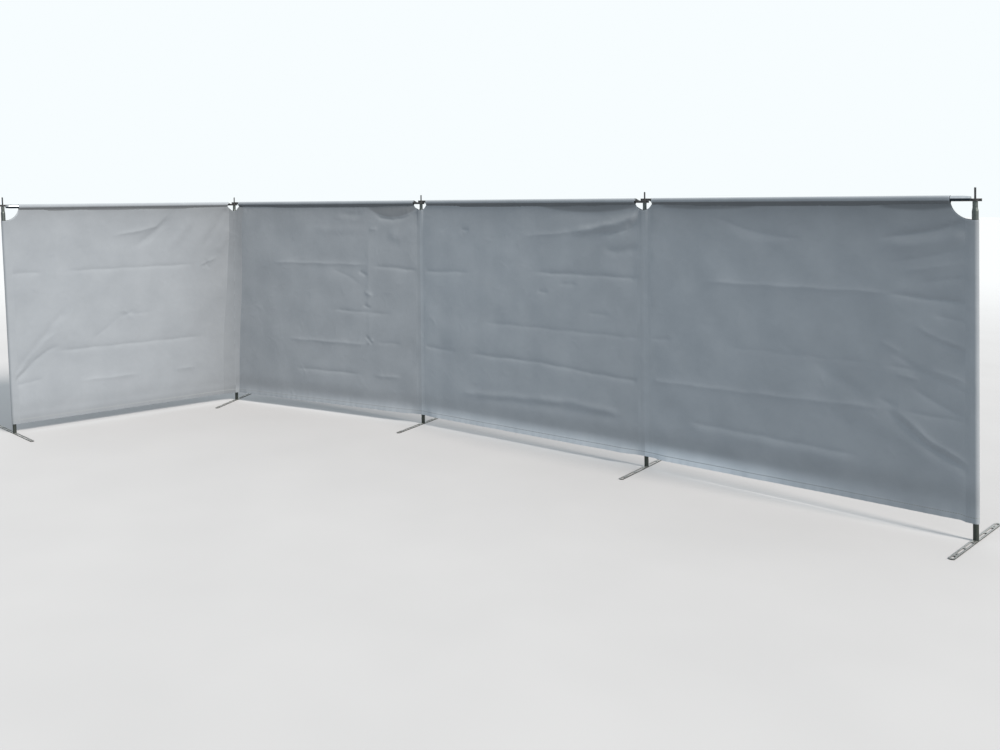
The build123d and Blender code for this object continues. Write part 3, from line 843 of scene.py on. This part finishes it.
def wrap_end_pocket(i):
    """The pocket at pole 1 or 5: the cloth goes round the pole and back to its own seam."""
    bay, side, pole_s = (1, "right", 0.0) if i == 1 else (4, "left", BAY_LENGTH)
    foot = float(hem_line(bay, np.array(pole_s)))
    t = np.linspace(0, 1, 12)
    arc = np.linspace(0, pi, 26)
    stretch = np.repeat(("front", "round", "back"), (t.size - 1, arc.size, t.size - 1))
    # Distances towards the cloth from the pole's axis, front seam first, then round the outside
    gap = np.concatenate((END_POCKET_SEAM * (1 - t[:-1]), -POCKET_RADIUS * np.sin(arc),
                          END_POCKET_SEAM * t[1:] ** 0.9))
    turned = np.concatenate((np.zeros(t.size - 1), arc, np.full(t.size - 1, pi)))
    z = cloth_rows(np.full(gap.shape, foot), cut_edge(i, side, np.abs(gap)), POCKET_ROWS)
    at = lean(i, z) + gap if i == 1 else BAY_LENGTH - gap + 0 * z
    skin = cloth_lift(bay, np.clip(at, 0.0, BAY_LENGTH), z)
    near_seam = smooth(np.abs(gap), 0.012, END_POCKET_SEAM)
    front = POCKET_LIFT + (skin - POCKET_LIFT) * near_seam
    back = -POCKET_RADIUS + (skin - STRIP_GAP + POCKET_RADIUS) * near_seam
    over = POCKET_LIFT * np.cos(turned)
    lift = np.where(stretch == "front", front, np.where(stretch == "back", back, over))
    places = closed(in_bay(bay, at, lift, z))
    z = closed(z)
    painted_cloth_shading = painted_light_and_shade(bay, np.clip(closed(at), 0, BAY_LENGTH), z)
    if i == 5:  # painted shade round its outer side, where the lamp lights it full on
        painted_cloth_shading = painted_cloth_shading * np.append(1 - 0.16 * np.sin(turned), 1.0)
    girth = round_loop(places)
    piece = make_sheet(f"cloth_pocket_{i}", places, np.stack((girth + 20 + i, z), axis=-1),
                       np.stack((z[-1:] - z, z - foot), axis=-1), painted_cloth_shading)
    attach(piece, f"bay_{bay}")
    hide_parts(f"pocket_{i}")


for b in BAYS:
    hang_panel(b)
for b in BAYS:
    hang_sleeve(b)
for i in (2, 3, 4):
    wrap_pocket(i)
for i in (1, 5):
    wrap_end_pocket(i)


# Turned pieces

# Outlines of (distance along the axis, radius)
RAIL_END = ((0.016, 0.0), (0.016, 0.0086), (0.017, 0.0094), (0.040, 0.0118), (0.054, 0.0121), (0.054, 0.0))
RIVET = ((0.0, 0.0), (0.0, 0.0028), (0.0014, 0.0028), (0.0022, 0.0020), (0.0025, 0.0))
RIVET_DROP = 0.029  # below the rail's axis
NECK_FACE = 0.009  # pole axis to the face that the rivet's head stands on


def turned_piece(name, start, axis, outline, material, steps=40):
    """A closed round piece, spun about its axis from an outline."""
    bm = bmesh.new()
    side = axis.orthogonal().normalized()
    corners = [bm.verts.new(start + axis * distance + side * radius) for distance, radius in outline]
    lines = [bm.edges.new(pair) for pair in zip(corners, corners[1:])]
    bmesh.ops.spin(bm, geom=corners + lines, cent=start, axis=axis, angle=2 * pi, steps=steps,
                   use_merge=True)
    bmesh.ops.remove_doubles(bm, verts=bm.verts, dist=1e-6)
    bmesh.ops.recalc_face_normals(bm, faces=bm.faces)
    mesh = bpy.data.meshes.new(name)
    bm.to_mesh(mesh)
    bm.free()
    mesh.shade_smooth()
    mesh.set_sharp_from_angle(angle=radians(35))
    piece = bpy.data.objects.new(name, mesh)
    bpy.context.collection.objects.link(piece)
    piece.data.materials.append(material)
    return piece


# The rails' drawn-down ends at the two end poles
for b, pole, inward in ((1, 1, 1), (4, 5, -1)):
    start = pin_place[pole] + Vector((0, 0, RAIL_HEIGHT))
    piece = turned_piece(f"rail_end_{pole}", start, along(heading[b]) * inward, RAIL_END, finishes["rail"])
    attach(piece, f"bay_{b}")

# A rivet through each pole's neck, its head towards the sheltered side
for i in POLES:
    out = along(heading[min(i, 4)] - 90)
    if i == 2:  # halfway between its two bays
        out = (along(heading[1] - 90) + out).normalized()
    start = pin_place[i] + Vector((0, 0, RAIL_HEIGHT - RIVET_DROP)) + out * NECK_FACE
    piece = turned_piece(f"rivet_{i}", start, out, RIVET, finishes["upper_tube"], steps=16)
    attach(piece, f"pole_{i}")

# Floor
bm = bmesh.new()
bmesh.ops.create_grid(bm, x_segments=1, y_segments=1, size=60)
floor_mesh = bpy.data.meshes.new("floor")
bm.to_mesh(floor_mesh)
bm.free()
floor = bpy.data.objects.new("floor", floor_mesh)
bpy.context.collection.objects.link(floor)
floor.data.materials.append(plain_floor())

# Light: a bright even sky and one distant soft lamp, high on the right and just in front of the wall
world = bpy.data.worlds.new("sky")
bpy.context.scene.world = world
world.use_nodes = True
sky = world.node_tree.nodes["Background"]
sky.inputs["Color"].default_value = colour("#F7FDFF")
sky.inputs["Strength"].default_value = 1.0
lamp_place = Vector((0.82, -0.06, 0.55))  # direction from the wall
key = bpy.data.lights.new("key", "SUN")
key.energy = 6.4
key.angle = radians(15)
key.color = (1.0, 0.89, 0.79)
lamp = bpy.data.objects.new("key", key)
lamp.rotation_euler = (-lamp_place).to_track_quat("-Z", "Y").to_euler()
bpy.context.collection.objects.link(lamp)
